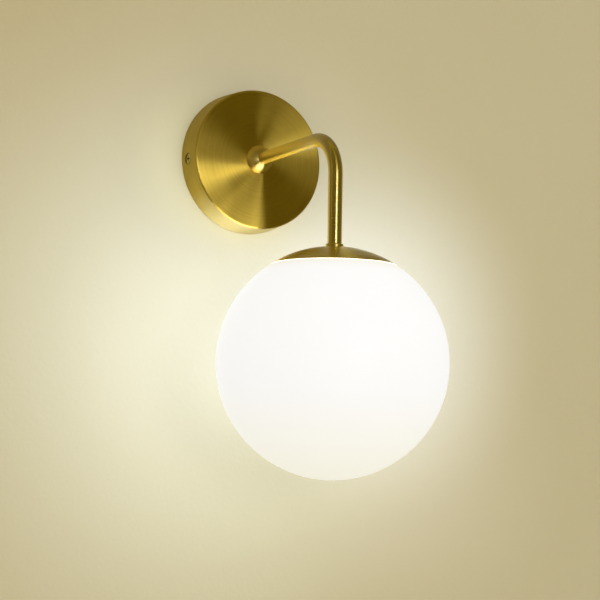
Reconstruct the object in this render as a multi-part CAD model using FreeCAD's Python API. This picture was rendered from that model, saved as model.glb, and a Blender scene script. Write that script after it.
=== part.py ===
import FreeCAD, Part
import math
import os

from FreeCAD import Vector

# A wall lamp: a round cup on the wall, a bent tube and an opal globe that hangs from it.
# Millimetres. The wall is the plane y = 0, the room is towards -Y, up is +Z,
# and the origin is the centre of the cup on the wall.

# Driving dimensions
plate_diameter = 110.0
plate_depth = 21.5
reach = 136.5               # from the wall to the hanging stretch of the arm
drop = 159.5                # from the arm's axis down to the globe's centre
tube_diameter = 10.0
bend_radius = 29.0          # of the arm's centre line
globe_diameter = 160.0

# Clearances
seat_gap = 0.3              # between two pieces that move apart
fit_gap = 0.05              # round a shaft in its hole
loose_gap = 0.25            # round a screw or a lead in its hole
overrun = 1.0               # how far a cut runs past the face that it opens

# How close two places or directions are when they count as the same
same_place = 0.01
same_way_share = 0.999

# Cup on the wall
plate_wall = 1.0
plate_taper = 1.4           # how much smaller the radius is at the front
plate_edge_radius = 1.6
plate_inner_edge_radius = 0.7

# Arm
tube_wall = 1.0
upper_tail = 1.7            # how far the tube stands out of the upper nut
collar_radius = 11.0
collar_height = 9.5
collar_groove = 0.35
collar_lip = 0.5

# Nuts and washers on both ends of the tube
nut_sides = 6
nut_across_flats = 14.0
nut_thickness = 4.0
nut_chamfer = 0.5
lock_washer_radius = 8.4
lock_washer_thickness = 0.8
lock_tooth_count = 16
lock_tooth_depth = 1.1
lock_tooth_width = 0.9
plate_washer_radius = 10.0
plate_washer_thickness = 1.0

# Earth tag under the upper nut
tag_radius = 8.4
tag_thickness = 0.8
tag_width = 6.0
tag_barrel_radius = 1.7
tag_barrel_length = 3.2
tag_barrel_drop = 11.6      # from the arm's axis down to the barrel's axis

# Bushes in the ends of the tube
bush_bore_radius = 3.0
bush_length = 7.0
bush_flange_radius = 4.8
bush_flange = 1.0

# Bracket on the wall
bracket_thickness = 1.5
bracket_height = 22.0
slot_spacing = 60.0
slot_length = 16.0
slot_width = 4.6
cable_hole_radius = 8.0
ear_height = 14.0
ear_margin = 5.3            # from the side screws' axis to the ears' free ends
tongue_margin = 1.5         # round the terminal block

# Side screws
side_screw_reach = 9.2      # from the wall to the screws' axis
side_screw_drop = 3.2       # from the plate's centre down to the screws' axis
side_screw_radius = 2.0
side_screw_length = 8.0
side_head_radius = 3.9
side_head_depth = 2.0
cross_width = 0.9
cross_span = 4.6
cross_depth = 1.2

# Earth screw on the bracket
earth_screw_place = 15.0    # from the centre to the side
earth_screw_radius = 2.0
earth_head_radius = 3.6
earth_head_height = 2.4
earth_washer_radius = 4.2
earth_washer_thickness = 0.9
screw_slot_width = 0.8
screw_slot_depth = 0.9

# Terminal block
pole_count = 3
pole_pitch = 10.0
pole_width = 6.4
block_height = 11.5         # out from the bracket
block_length = 17.0
block_web = 4.0
block_drop = 16.0           # from the centre down to the top of the block
pole_edge_radius = 1.2
sleeve_radius = 2.2
sleeve_bore_radius = 1.3
sleeve_length = 14.0
sleeve_rise = 4.8           # from the bracket's face to the sleeve's axis
clamp_radius = 1.2
clamp_head_radius = 1.7
clamp_head_height = 1.6
clamp_spacing = 7.6
clamp_well = 1.0            # how deep the clamping screws lie in the block
fixing_radius = 1.25
fixing_head_radius = 2.1
fixing_head_height = 1.6

# Leads
lead_radius = 0.9
lead_spread = 1.8           # from the tube's axis to each lead's axis
lead_turn_radius = 4.0
lead_kink_radius = 2.5
earth_turn_radius = 3.0
lead_turn_drop = 6.2        # from the arm's axis down to where the leads part
lead_entry = 1.2            # how far a lead's sheath reaches into the block
lead_stub = 3.6             # straight stretch of a lead above the block
ferrule_radius = 0.8
ferrule_length = 7.0

# Cap on the globe
cap_wall = 0.8
cap_stand = 0.2             # how far the cap stands out of the glass ball's outline
cap_rim_radius = 43.8
cap_flat_cut = 1.5          # how far the flat top lies below the full dome
foot_ring_radius = 6.3
foot_ring_height = 3.6
foot_ring_edge_radius = 1.1
lower_tail = 1.5            # how far the tube stands out of the lower nut

# Spring spider that holds the globe
spring_thickness = 0.6
spring_hub_margin = 0.5     # between the hub's corners and the cap
spring_arm_count = 3
spring_arm_width = 8.0
spring_first_angle = 90.0
spring_kink_radius = 1.5
spring_shoulder_radius = 2.0
spring_mouth_gap = 0.4      # between the arms and the glass in the mouth
spring_bulge = 2.3          # how far the arms spread below the glass edge
spring_bulge_drop = 4.6     # from the glass edge down to the widest place
spring_tip_inset = 5.2
spring_tip_drop = 5.8
spring_neck_share = 0.25    # how far the arms' upright stretch stays inside the glass edge

# Globe
glass_thickness = 3.0
mouth_radius = 36.0
mouth_edge_radius = 0.9

# Lampholder and its bracket
strap_thickness = 1.0
strap_half_width = 4.5
strap_disc_radius = 8.8
strap_half_span = 13.0
strap_height = 21.4
strap_foot_inner = 6.0
holder_half_width = 13.5
holder_half_depth = 8.0
holder_height = 21.0
holder_edge_radius = 3.5
holder_screw_place = 9.0    # from the axis to each screw
holder_screw_radius = 1.4
holder_screw_length = 6.0
holder_head_radius = 2.5
holder_head_height = 1.8
socket_floor = 4.5
socket_half_width = 2.3
socket_half_depth = 3.2
contact_thickness = 0.4
contact_half_width = 1.9
contact_length = 12.0
contact_crimp_radius = 1.4
contact_crimp_length = 3.0

# Bulb with two pins
pin_spacing = 9.0
pin_wire_radius = 0.4
pin_loop_radius = 0.9
pin_length = 14.0
pin_slot_gap = 0.4          # round a pin in the holder's slot
bulb_base_half_width = 8.0
bulb_base_half_depth = 5.0
bulb_base_height = 12.0
bulb_base_edge_radius = 1.5
bulb_collar_height = 3.0
bulb_radius = 8.5
bulb_length = 36.0
bulb_wall = 1.0
board_half_width = 4.5
board_thickness = 1.2
board_length = 28.0
led_rows = 4
led_half_width = 1.1
led_length = 3.2
led_thickness = 0.7

# Directions
RIGHT = Vector(1, 0, 0)
ROOM = Vector(0, -1, 0)
UP = Vector(0, 0, 1)
DOWN = Vector(0, 0, -1)
full_turn = 360.0

# Sizes that follow from the ones above
plate_radius = plate_diameter / 2
plate_inner_away = plate_depth - plate_wall
tag_away = plate_inner_away - plate_washer_thickness
upper_washer_away = tag_away - tag_thickness
upper_nut_away = upper_washer_away - lock_washer_thickness
tube_tail = upper_nut_away - nut_thickness - upper_tail
tube_radius = tube_diameter / 2
tube_bore_radius = tube_radius - tube_wall
shaft_hole_radius = tube_radius + fit_gap
globe_radius = globe_diameter / 2
cap_radius = globe_radius + cap_stand
cap_inner_radius = cap_radius - cap_wall
glass_seat_radius = cap_inner_radius - seat_gap


def at_wall(x, away, z):
    """A point by its place on the wall and its distance away from the wall."""
    return Vector(x, -away, z)


def at_globe(x, y, height):
    """A point by its offsets from the globe's centre."""
    return Vector(x, y - reach, height - drop)


def at_ball(radius, angle):
    """A point on a ball round the globe's centre, by its angle from the top."""
    return at_globe(radius * math.sin(angle), 0, radius * math.cos(angle))


def ball_arc(radius, first_angle, last_angle):
    middle = at_ball(radius, (first_angle + last_angle) / 2)
    return Part.Arc(at_ball(radius, first_angle), middle, at_ball(radius, last_angle)).toShape()


def block(low, high):
    """A box between two opposite corners given in any order."""
    corner = Vector(min(low.x, high.x), min(low.y, high.y), min(low.z, high.z))
    span = high - low
    return Part.makeBox(abs(span.x), abs(span.y), abs(span.z), corner)


def rod(start, direction, length, radius):
    return Part.makeCylinder(radius, length, start, direction)


def ring(start, direction, length, radius, hole_radius):
    body = rod(start, direction, length, radius)
    hole = rod(start - direction * overrun, direction, length + overrun * 2, hole_radius)
    return body.cut(hole)


def rounded_path(points, radii):
    """Straight runs through the points, with a tangent arc at each inner point."""
    edges = []
    start = points[0]
    for before, corner, after, radius in zip(points, points[1:], points[2:], radii):
        arriving = (corner - before).normalize()
        leaving = (after - corner).normalize()
        half_turn = arriving.getAngle(leaving) / 2
        setback = radius * math.tan(half_turn)
        first = corner - arriving * setback
        last = corner + leaving * setback
        inward = (leaving - arriving).normalize()
        middle = corner + inward * (radius / math.cos(half_turn) - radius)
        edges.append(Part.LineSegment(start, first).toShape())
        edges.append(Part.Arc(first, middle, last).toShape())
        start = last
    edges.append(Part.LineSegment(start, points[-1]).toShape())
    return Part.Wire(edges)


def wire_along(points, radii, radius):
    """A round rod that follows a rounded path."""
    path = rounded_path(points, radii)
    section = Part.Wire([Part.makeCircle(radius, points[0], points[1] - points[0])])
    return path.makePipeShell([section], True, False)


def revolved(edges, centre, direction):
    face = Part.Face(Part.Wire(edges))
    return face.revolve(centre, direction, full_turn)


def edges_at(shape, along, value):
    """The edges of a shape that lie wholly at one place along a direction."""
    found = []
    for edge in shape.Edges:
        ends = [vertex.Point.dot(along) for vertex in edge.Vertexes]
        centre = edge.CenterOfMass.dot(along)
        if all(abs(place - value) < same_place for place in ends + [centre]):
            found.append(edge)
    return found


def corner_edges(shape, direction):
    """The straight edges of a shape that run along a direction."""
    found = []
    for edge in shape.Edges:
        if len(edge.Vertexes) == 2 and isinstance(edge.Curve, Part.Line):
            run = (edge.Vertexes[1].Point - edge.Vertexes[0].Point).normalize()
            if abs(run.dot(direction)) > same_way_share:
                found.append(edge)
    return found


def joined(shapes):
    """One solid made of several that meet or overlap."""
    whole = shapes[0]
    for shape in shapes[1:]:
        whole = whole.fuse(shape)
    return whole.removeSplitter()


# Cup on the wall
def plate_radius_at(away):
    return plate_radius - plate_taper * away / plate_depth


def plate_body(radius_less, depth, edge_radius):
    """A slightly tapered disc with a rounded front edge."""
    back = plate_radius - radius_less
    front = plate_radius_at(depth) - radius_less
    disc = Part.makeCone(back, front, depth, Vector(0, 0, 0), ROOM)
    return disc.makeFillet(edge_radius, edges_at(disc, ROOM, depth))


# The flat plane in which a side screw's head lies, just inside the rim
side_rim_radius = plate_radius_at(side_screw_reach)
side_head_place = math.sqrt(side_rim_radius ** 2 - (side_screw_drop + side_head_radius) ** 2)
ear_place = side_head_place - side_head_depth - seat_gap


def side_cone(side, wide_by):
    """The tapered seat of one side screw's head, wider by the given amount."""
    start = at_wall(side * side_head_place, side_screw_reach, -side_screw_drop)
    wide = side_head_radius + wide_by
    narrow = side_screw_radius + wide_by
    return Part.makeCone(wide, narrow, side_head_depth, start, RIGHT * -side)


def backplate():
    outside = plate_body(0, plate_depth, plate_edge_radius)
    inside = plate_body(plate_wall, plate_depth - plate_wall, plate_inner_edge_radius)
    shell = outside.cut(inside)
    for side in (-1, 1):
        dimple = side_cone(side, loose_gap + plate_wall).common(outside)
        shell = shell.fuse(dimple)
    for side in (-1, 1):
        mouth = at_wall(side * side_head_place, side_screw_reach, -side_screw_drop)
        inward = RIGHT * -side
        shell = shell.cut(side_cone(side, loose_gap))
        shell = shell.cut(rod(mouth, inward * -1, overrun, side_head_radius + loose_gap))
        shell = shell.cut(rod(mouth, inward, side_head_depth + overrun, side_screw_radius + loose_gap))
    shaft = rod(at_wall(0, plate_depth - plate_wall - overrun, 0), ROOM,
                plate_wall + overrun * 2, shaft_hole_radius)
    return shell.cut(shaft).removeSplitter()


def cross_recess(face_point, inward, first, second):
    """The crossed slots in a screw head, cut inward from a point on its face."""
    recess = None
    for along, across in ((first, second), (second, first)):
        low = face_point - along * (cross_span / 2) - across * (cross_width / 2) - inward * overrun
        high = face_point + along * (cross_span / 2) + across * (cross_width / 2) + inward * cross_depth
        arm = block(low, high)
        recess = arm if recess is None else recess.fuse(arm)
    return recess


def side_screws():
    screws = []
    for side in (-1, 1):
        face = at_wall(side * side_head_place, side_screw_reach, -side_screw_drop)
        inward = RIGHT * -side
        shank = rod(face, inward, side_screw_length, side_screw_radius)
        screw = joined([side_cone(side, 0), shank])
        screws.append(screw.cut(cross_recess(face, inward, ROOM, UP)))
    return Part.makeCompound(screws)


# Bracket behind the cup
def wall_bracket():
    half = bracket_height / 2
    strip = block(at_wall(-ear_place, 0, -half), at_wall(ear_place, bracket_thickness, half))
    tongue_side = pole_count * pole_pitch / 2 + tongue_margin
    tongue = block(at_wall(-tongue_side, 0, block_top - block_length - tongue_margin),
                   at_wall(tongue_side, bracket_thickness, 0))
    pieces = [strip, tongue]
    for side in (-1, 1):
        low = at_wall(side * ear_place, 0, -side_screw_drop - ear_height / 2)
        high = at_wall(side * (ear_place - bracket_thickness), side_screw_reach + ear_margin,
                       ear_height / 2 - side_screw_drop)
        pieces.append(block(low, high))
    bracket = joined(pieces)
    for side in (-1, 1):
        bracket = bracket.cut(wall_slot(side * slot_spacing / 2))
        start = at_wall(side * (ear_place + overrun), side_screw_reach, -side_screw_drop)
        thread = rod(start, RIGHT * -side, bracket_thickness + overrun * 2, side_screw_radius + fit_gap)
        bracket = bracket.cut(thread)
    bracket = bracket.cut(bracket_hole(0, 0, cable_hole_radius))
    bracket = bracket.cut(bracket_hole(-earth_screw_place, 0, earth_screw_radius + fit_gap))
    return bracket.cut(bracket_hole(fixing_place.x, fixing_place.z, fixing_radius + fit_gap))


def bracket_hole(x, z, radius):
    return rod(at_wall(x, -overrun, z), ROOM, bracket_thickness + overrun * 2, radius)


def wall_slot(centre):
    """A slot along the bracket, rounded at both ends."""
    radius = slot_width / 2
    half = slot_length / 2 - radius
    ends = [bracket_hole(centre + side * half, 0, radius) for side in (-1, 1)]
    middle = block(at_wall(centre - half, -overrun, -radius),
                   at_wall(centre + half, bracket_thickness + overrun, radius))
    return joined([middle] + ends)


def earth_screw():
    under_head = bracket_thickness + earth_washer_thickness
    head = rod(at_wall(-earth_screw_place, under_head, 0), ROOM, earth_head_height, earth_head_radius)
    shank = rod(at_wall(-earth_screw_place, 0, 0), ROOM, under_head, earth_screw_radius)
    screw = joined([head, shank])
    top = under_head + earth_head_height
    slot = screw_slot(at_wall(-earth_screw_place, top, 0), earth_head_radius)
    return screw.cut(slot)


def screw_slot(top, head_radius):
    """A straight driver slot across a head that faces the room."""
    across = head_radius + overrun
    return block(top + Vector(-across, screw_slot_depth, -screw_slot_width / 2),
                 top + Vector(across, -overrun, screw_slot_width / 2))


def earth_washer():
    start = at_wall(-earth_screw_place, bracket_thickness, 0)
    return ring(start, ROOM, earth_washer_thickness, earth_washer_radius,
                earth_screw_radius + loose_gap)


# Terminal block on the bracket's tongue
sleeve_away = bracket_thickness + sleeve_rise
block_top = -block_drop
block_middle = block_top - block_length / 2
block_face = bracket_thickness + block_height
pole_places = [(pole - (pole_count - 1) / 2) * pole_pitch for pole in range(pole_count)]
fixing_place = at_wall(pole_pitch / 2, bracket_thickness + block_web, block_middle)


def terminal_block():
    half_width = pole_count * pole_pitch / 2
    web = block(at_wall(-half_width, bracket_thickness, block_top),
                at_wall(half_width, bracket_thickness + block_web, block_top - block_length))
    pieces = [web]
    for place in pole_places:
        tower = block(at_wall(place - pole_width / 2, bracket_thickness, block_top),
                      at_wall(place + pole_width / 2, block_face, block_top - block_length))
        front = edges_at(tower, ROOM, block_face)
        pieces.append(tower.makeFillet(pole_edge_radius, corner_edges(Part.makeCompound(front), UP)))
    body = joined(pieces)
    for place in pole_places:
        start = at_wall(place, sleeve_away, block_top + overrun)
        body = body.cut(rod(start, DOWN, block_length + overrun * 2, sleeve_radius + fit_gap))
        for step in (-1, 1):
            well = at_wall(place, sleeve_away, block_middle + step * clamp_spacing / 2)
            body = body.cut(rod(well, ROOM, block_height, clamp_head_radius + loose_gap))
    passage = at_wall(fixing_place.x, 0, fixing_place.z)
    body = body.cut(rod(passage, ROOM, block_height, fixing_radius + loose_gap))
    return body.cut(rod(fixing_place, ROOM, block_height, fixing_head_radius + loose_gap))


def terminal_sleeves():
    sleeves = []
    for place in pole_places:
        start = at_wall(place, sleeve_away, block_middle + sleeve_length / 2)
        sleeve = ring(start, DOWN, sleeve_length, sleeve_radius, sleeve_bore_radius)
        for step in (-1, 1):
            thread = at_wall(place, sleeve_away, block_middle + step * clamp_spacing / 2)
            sleeve = sleeve.cut(rod(thread, ROOM, sleeve_radius + overrun, clamp_radius + fit_gap))
        sleeves.append(sleeve)
    return Part.makeCompound(sleeves)


def terminal_screws():
    screws = []
    top_away = block_face - clamp_well
    for place in pole_places:
        for step in (-1, 1):
            height = block_middle + step * clamp_spacing / 2
            tip_away = sleeve_away + ferrule_radius
            shank = rod(at_wall(place, tip_away, height), ROOM, top_away - tip_away, clamp_radius)
            head = rod(at_wall(place, top_away - clamp_head_height, height), ROOM,
                       clamp_head_height, clamp_head_radius)
            slot = screw_slot(at_wall(place, top_away, height), clamp_head_radius)
            screws.append(joined([shank, head]).cut(slot))
    return Part.makeCompound(screws)


def block_screw():
    head = rod(fixing_place, ROOM, fixing_head_height, fixing_head_radius)
    shank = rod(fixing_place, ROOM * -1, bracket_thickness + block_web, fixing_radius)
    top = fixing_place + ROOM * fixing_head_height
    return joined([head, shank]).cut(screw_slot(top, fixing_head_radius))


# Arm
arm_corner = at_wall(0, reach, 0)
cap_top = cap_radius - cap_flat_cut
cap_ceiling = cap_top - cap_wall
cap_rim_angle = math.asin(cap_rim_radius / cap_radius)
ceiling_flat_radius = math.sqrt(cap_inner_radius ** 2 - cap_ceiling ** 2)
spring_hub_radius = math.sqrt(ceiling_flat_radius ** 2 - (spring_arm_width / 2) ** 2) - spring_hub_margin
strap_top = cap_ceiling - spring_thickness
lower_washer_top = strap_top - strap_thickness
lower_nut_top = lower_washer_top - lock_washer_thickness
tube_foot = lower_nut_top - nut_thickness - lower_tail


def tube_path(start_away, end_height):
    """The start, corner and end of the tube's centre line."""
    return [at_wall(0, start_away, 0), arm_corner, at_globe(0, 0, end_height)]


def arm_tube():
    outside = wire_along(tube_path(tube_tail, tube_foot), [bend_radius], tube_radius)
    hollow_route = tube_path(tube_tail - overrun, tube_foot - overrun)
    return outside.cut(wire_along(hollow_route, [bend_radius], tube_bore_radius))


def arm_collar():
    """A polished half ball round the arm, with a fine groove where it meets the cup."""
    dome_radius = (collar_radius ** 2 + collar_height ** 2) / (collar_height * 2)
    centre = at_wall(0, plate_depth + collar_height - dome_radius, 0)
    ball = Part.makeSphere(dome_radius, centre)
    keep = rod(at_wall(0, plate_depth, 0), ROOM, collar_height, dome_radius)
    dome = ball.common(keep)
    groove = ring(at_wall(0, plate_depth, 0), ROOM, collar_lip, dome_radius + overrun,
                  collar_radius - collar_groove)
    shaft = rod(at_wall(0, plate_depth - overrun, 0), ROOM, collar_height + overrun * 2,
                shaft_hole_radius)
    return dome.cut(groove).cut(shaft)


def hex_nut(start, direction, first_corner):
    """A nut with chamfered corners, from its seat along a direction."""
    across_corners = nut_across_flats / math.cos(math.pi / nut_sides) / 2
    turn = FreeCAD.Rotation(direction, full_turn / nut_sides)
    corner = first_corner * across_corners
    points = []
    for side in range(nut_sides + 1):
        points.append(start + corner)
        corner = turn.multVec(corner)
    prism = Part.Face(Part.makePolygon(points)).extrude(direction * nut_thickness)
    narrow = nut_across_flats / 2
    wide = narrow + (across_corners - narrow) * nut_thickness / nut_chamfer
    for seat, way in ((start, direction), (start + direction * nut_thickness, direction * -1)):
        prism = prism.common(Part.makeCone(narrow, wide, nut_thickness, seat, way))
    bore = rod(start - direction * overrun, direction, nut_thickness + overrun * 2, shaft_hole_radius)
    return prism.cut(bore)


def toothed_washer(start, direction, first_side):
    washer = ring(start, direction, lock_washer_thickness, lock_washer_radius, shaft_hole_radius)
    turn = FreeCAD.Rotation(direction, full_turn / lock_tooth_count)
    outward = first_side
    for tooth in range(lock_tooth_count):
        across = direction.cross(outward)
        low = start + outward * (lock_washer_radius - lock_tooth_depth) - across * (lock_tooth_width / 2)
        notch = Part.makeBox(lock_tooth_depth + overrun, lock_tooth_width,
                             lock_washer_thickness + overrun * 2)
        basis = FreeCAD.Rotation(outward, across, direction, "XYZ")
        notch.Placement = FreeCAD.Placement(low - direction * overrun, basis)
        washer = washer.cut(notch)
        outward = turn.multVec(outward)
    return washer


def plate_washer():
    return ring(at_wall(0, plate_inner_away, 0), ROOM * -1, plate_washer_thickness,
                plate_washer_radius, shaft_hole_radius)


def earth_tag():
    """A washer round the tube with a tab down to the barrel that holds the earth lead."""
    start = at_wall(0, tag_away, 0)
    inward = ROOM * -1
    disc = rod(start, inward, tag_thickness, tag_radius)
    tab_end = tag_barrel_drop + tag_barrel_radius + tag_thickness
    tab = block(at_wall(-tag_width / 2, tag_away, 0),
                at_wall(tag_width / 2, tag_away - tag_thickness, -tab_end))
    barrel_start = at_wall(0, tag_away - tag_thickness, -tag_barrel_drop)
    barrel = rod(barrel_start, inward, tag_barrel_length, tag_barrel_radius)
    tag = joined([disc, tab, barrel])
    tag = tag.cut(rod(start - inward * overrun, inward, tag_thickness + overrun * 2, shaft_hole_radius))
    return tag.cut(rod(barrel_start, inward, tag_barrel_length + overrun, lead_radius + fit_gap))


def upper_lock_washer():
    return toothed_washer(at_wall(0, upper_washer_away, 0), ROOM * -1, RIGHT)


def upper_nut():
    return hex_nut(at_wall(0, upper_nut_away, 0), ROOM * -1, UP)


def end_bush(tube_end, inward):
    """A plastic bush in the tube's end, with its flange outside."""
    sleeve = rod(tube_end, inward, bush_length, tube_bore_radius - fit_gap)
    flange = rod(tube_end, inward * -1, bush_flange, bush_flange_radius)
    bore_start = tube_end - inward * (bush_flange + overrun)
    bore = rod(bore_start, inward, bush_length + bush_flange + overrun * 2, bush_bore_radius)
    return joined([sleeve, flange]).cut(bore)


def upper_bush():
    return end_bush(at_wall(0, tube_tail, 0), ROOM)


def lower_bush():
    return end_bush(at_globe(0, 0, tube_foot), UP)


# Cap, spring spider and lampholder bracket at the foot of the arm
def foot_ring():
    ring_body = ring(at_globe(0, 0, cap_top), UP, foot_ring_height, foot_ring_radius, shaft_hole_radius)
    rounded = []
    for height in (0, foot_ring_height):
        level = at_globe(0, 0, cap_top + height).z
        for edge in edges_at(ring_body, UP, level):
            if edge.Curve.Radius > shaft_hole_radius + same_place:
                rounded.append(edge)
    return ring_body.makeFillet(foot_ring_edge_radius, rounded)


def dome_face_edges(radius, flat_height, rim_angle):
    """Half the outline of a dome with a flat top, from its axis to its rim."""
    flat_angle = math.acos(flat_height / radius)
    flat = Part.LineSegment(at_globe(0, 0, flat_height), at_ball(radius, flat_angle)).toShape()
    return flat, ball_arc(radius, flat_angle, rim_angle)


def shade_cap():
    outer_flat, outer_dome = dome_face_edges(cap_radius, cap_top, cap_rim_angle)
    inner_flat, inner_dome = dome_face_edges(cap_inner_radius, cap_ceiling, cap_rim_angle)
    rim = Part.LineSegment(outer_dome.Vertexes[-1].Point, inner_dome.Vertexes[-1].Point).toShape()
    axis = Part.LineSegment(at_globe(0, 0, cap_top), at_globe(0, 0, cap_ceiling)).toShape()
    edges = Part.__sortEdges__([outer_flat, outer_dome, rim, inner_dome, inner_flat, axis])
    dome = revolved(edges, at_globe(0, 0, 0), UP)
    hole = rod(at_globe(0, 0, cap_ceiling - overrun), UP, cap_wall + overrun * 2, shaft_hole_radius)
    return dome.cut(hole)


def mouth_edge_height(radius):
    return math.sqrt(radius ** 2 - mouth_radius ** 2)


def spring_arm():
    """One arm towards +X: flat at the hub, down to the mouth, out below the glass, in at the tip."""
    level = cap_ceiling - spring_thickness / 2
    glass_edge = mouth_edge_height(globe_radius - glass_thickness)
    neck = mouth_radius - spring_mouth_gap - spring_thickness / 2
    inset = glass_thickness * spring_neck_share
    widest_height = glass_edge - spring_bulge_drop
    outline = [
        (tube_radius + spring_arm_width / 2, level),
        (spring_hub_radius, level),
        (neck, mouth_edge_height(glass_seat_radius) - inset),
        (neck, glass_edge - inset),
        (neck + spring_bulge, widest_height),
        (neck + spring_bulge - spring_tip_inset, widest_height - spring_tip_drop),
    ]
    points = [at_globe(radius, 0, height) for radius, height in outline]
    radii = [spring_shoulder_radius, spring_shoulder_radius, spring_kink_radius, spring_kink_radius]
    path = rounded_path(points, radii)
    half = spring_arm_width / 2
    offsets = ((-half, -1), (half, -1), (half, 1), (-half, 1), (-half, -1))
    corners = [points[0] + Vector(0, y, up * spring_thickness / 2) for y, up in offsets]
    return path.makePipeShell([Part.makePolygon(corners)], True, False)


def globe_spring():
    centre = at_globe(0, 0, 0)
    hub = rod(at_globe(0, 0, cap_ceiling), DOWN, spring_thickness, spring_hub_radius)
    pieces = [hub]
    for number in range(spring_arm_count):
        arm = spring_arm()
        arm.rotate(centre, UP, spring_first_angle + number * full_turn / spring_arm_count)
        pieces.append(arm)
    hole = rod(at_globe(0, 0, cap_ceiling + overrun), DOWN, spring_thickness + overrun * 2,
               shaft_hole_radius)
    return joined(pieces).cut(hole)


strap_foot_top = strap_top - strap_height + strap_thickness
holder_top = strap_top - strap_height


def holder_strap():
    """A stirrup under the spring: its top is clamped by the nut, and its feet carry the lampholder."""
    half = strap_half_width
    top = block(at_globe(-strap_half_span, -half, strap_top),
                at_globe(strap_half_span, half, strap_top - strap_thickness))
    disc = rod(at_globe(0, 0, strap_top), DOWN, strap_thickness, strap_disc_radius)
    pieces = [top, disc]
    for side in (-1, 1):
        outer = side * strap_half_span
        pieces.append(block(at_globe(outer, -half, strap_top),
                            at_globe(outer - side * strap_thickness, half, holder_top)))
        pieces.append(block(at_globe(outer, -half, strap_foot_top),
                            at_globe(side * strap_foot_inner, half, holder_top)))
    strap = joined(pieces)
    hole = rod(at_globe(0, 0, strap_top + overrun), DOWN, strap_thickness + overrun * 2,
               shaft_hole_radius)
    strap = strap.cut(hole)
    for side in (-1, 1):
        start = at_globe(side * holder_screw_place, 0, strap_foot_top + overrun)
        strap = strap.cut(rod(start, DOWN, strap_thickness + overrun * 2,
                              holder_screw_radius + loose_gap))
    return strap


def lower_lock_washer():
    return toothed_washer(at_globe(0, 0, lower_washer_top), DOWN, RIGHT)


def lower_nut():
    return hex_nut(at_globe(0, 0, lower_nut_top), DOWN, ROOM)


# Lampholder
holder_bottom = holder_top - holder_height
socket_bottom = holder_bottom + socket_floor
pin_places = (-pin_spacing / 2, pin_spacing / 2)
pin_half_width = pin_loop_radius + pin_wire_radius


def lampholder():
    body = block(at_globe(-holder_half_width, -holder_half_depth, holder_bottom),
                 at_globe(holder_half_width, holder_half_depth, holder_top))
    body = body.makeFillet(holder_edge_radius, corner_edges(body, UP))
    for place in pin_places:
        socket = block(at_globe(place - socket_half_width, -socket_half_depth, socket_bottom),
                       at_globe(place + socket_half_width, socket_half_depth, holder_top + overrun))
        slot_half = pin_half_width + pin_slot_gap
        slot_depth = pin_wire_radius + pin_slot_gap
        slot = block(at_globe(place - slot_half, -slot_depth, holder_bottom - overrun),
                     at_globe(place + slot_half, slot_depth, socket_bottom + overrun))
        body = body.cut(socket).cut(slot)
    for side in (-1, 1):
        start = at_globe(side * holder_screw_place, 0, holder_top + overrun)
        depth = holder_screw_length + overrun * 2
        body = body.cut(rod(start, DOWN, depth, holder_screw_radius + fit_gap))
    return body


contact_top = socket_bottom + contact_length


def lampholder_contacts():
    """Two folded strips, each with a leaf on both sides of its pin and a crimp for its lead."""
    contacts = []
    inner = pin_wire_radius + fit_gap * 2
    for place in pin_places:
        pieces = []
        for side in (-1, 1):
            low = at_globe(place - contact_half_width, side * inner, socket_bottom)
            high = at_globe(place + contact_half_width, side * (inner + contact_thickness), contact_top)
            pieces.append(block(low, high))
        outer = inner + contact_thickness
        pieces.append(block(at_globe(place - contact_half_width, -outer, contact_top),
                            at_globe(place + contact_half_width, outer, contact_top + contact_thickness)))
        crimp_start = at_globe(place, 0, contact_top + contact_thickness)
        pieces.append(rod(crimp_start, UP, contact_crimp_length, contact_crimp_radius))
        contact = joined(pieces)
        contacts.append(contact.cut(rod(crimp_start, UP, contact_crimp_length + overrun,
                                        lead_radius + fit_gap)))
    return Part.makeCompound(contacts)


def holder_screws():
    screws = []
    for side in (-1, 1):
        seat = at_globe(side * holder_screw_place, 0, strap_foot_top)
        shank = rod(seat, DOWN, holder_screw_length, holder_screw_radius)
        head = rod(seat, UP, holder_head_height, holder_head_radius)
        top = seat + UP * holder_head_height
        across = holder_head_radius + overrun
        slot = block(top + Vector(-screw_slot_width / 2, -across, -screw_slot_depth),
                     top + Vector(screw_slot_width / 2, across, overrun))
        screws.append(joined([shank, head]).cut(slot))
    return Part.makeCompound(screws)


# Globe
def globe_lip(radius, side):
    """The rounded edge between a face of the glass and the mouth, and its angle; side is 1 outside."""
    lip_reach = radius - side * mouth_edge_radius
    angle = math.asin((mouth_radius + mouth_edge_radius) / lip_reach)
    centre = at_ball(lip_reach, angle)
    outward = (centre - at_globe(0, 0, 0)).normalize() * side
    between = (outward - RIGHT).normalize()
    points = [centre + way * mouth_edge_radius for way in (outward, between, RIGHT * -1)]
    return Part.Arc(points[0], points[1], points[2]).toShape(), angle


def globe():
    """A hollow ball of opal glass with a round mouth, and a shallow step in which the cap lies."""
    inner_radius = globe_radius - glass_thickness
    step_angle = cap_rim_angle + seat_gap / globe_radius
    outer_lip, outer_lip_angle = globe_lip(glass_seat_radius, 1)
    inner_lip, inner_lip_angle = globe_lip(inner_radius, -1)
    step_top = at_ball(globe_radius, step_angle)
    step = Part.LineSegment(step_top, at_ball(glass_seat_radius, step_angle)).toShape()
    mouth = Part.LineSegment(outer_lip.Vertexes[-1].Point, inner_lip.Vertexes[-1].Point).toShape()
    axis = Part.LineSegment(at_globe(0, 0, -globe_radius), at_globe(0, 0, -inner_radius)).toShape()
    edges = [
        ball_arc(globe_radius, math.pi, step_angle),
        step,
        ball_arc(glass_seat_radius, step_angle, outer_lip_angle),
        outer_lip,
        mouth,
        inner_lip,
        ball_arc(inner_radius, inner_lip_angle, math.pi),
        axis,
    ]
    return revolved(Part.__sortEdges__(edges), at_globe(0, 0, 0), UP)


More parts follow.
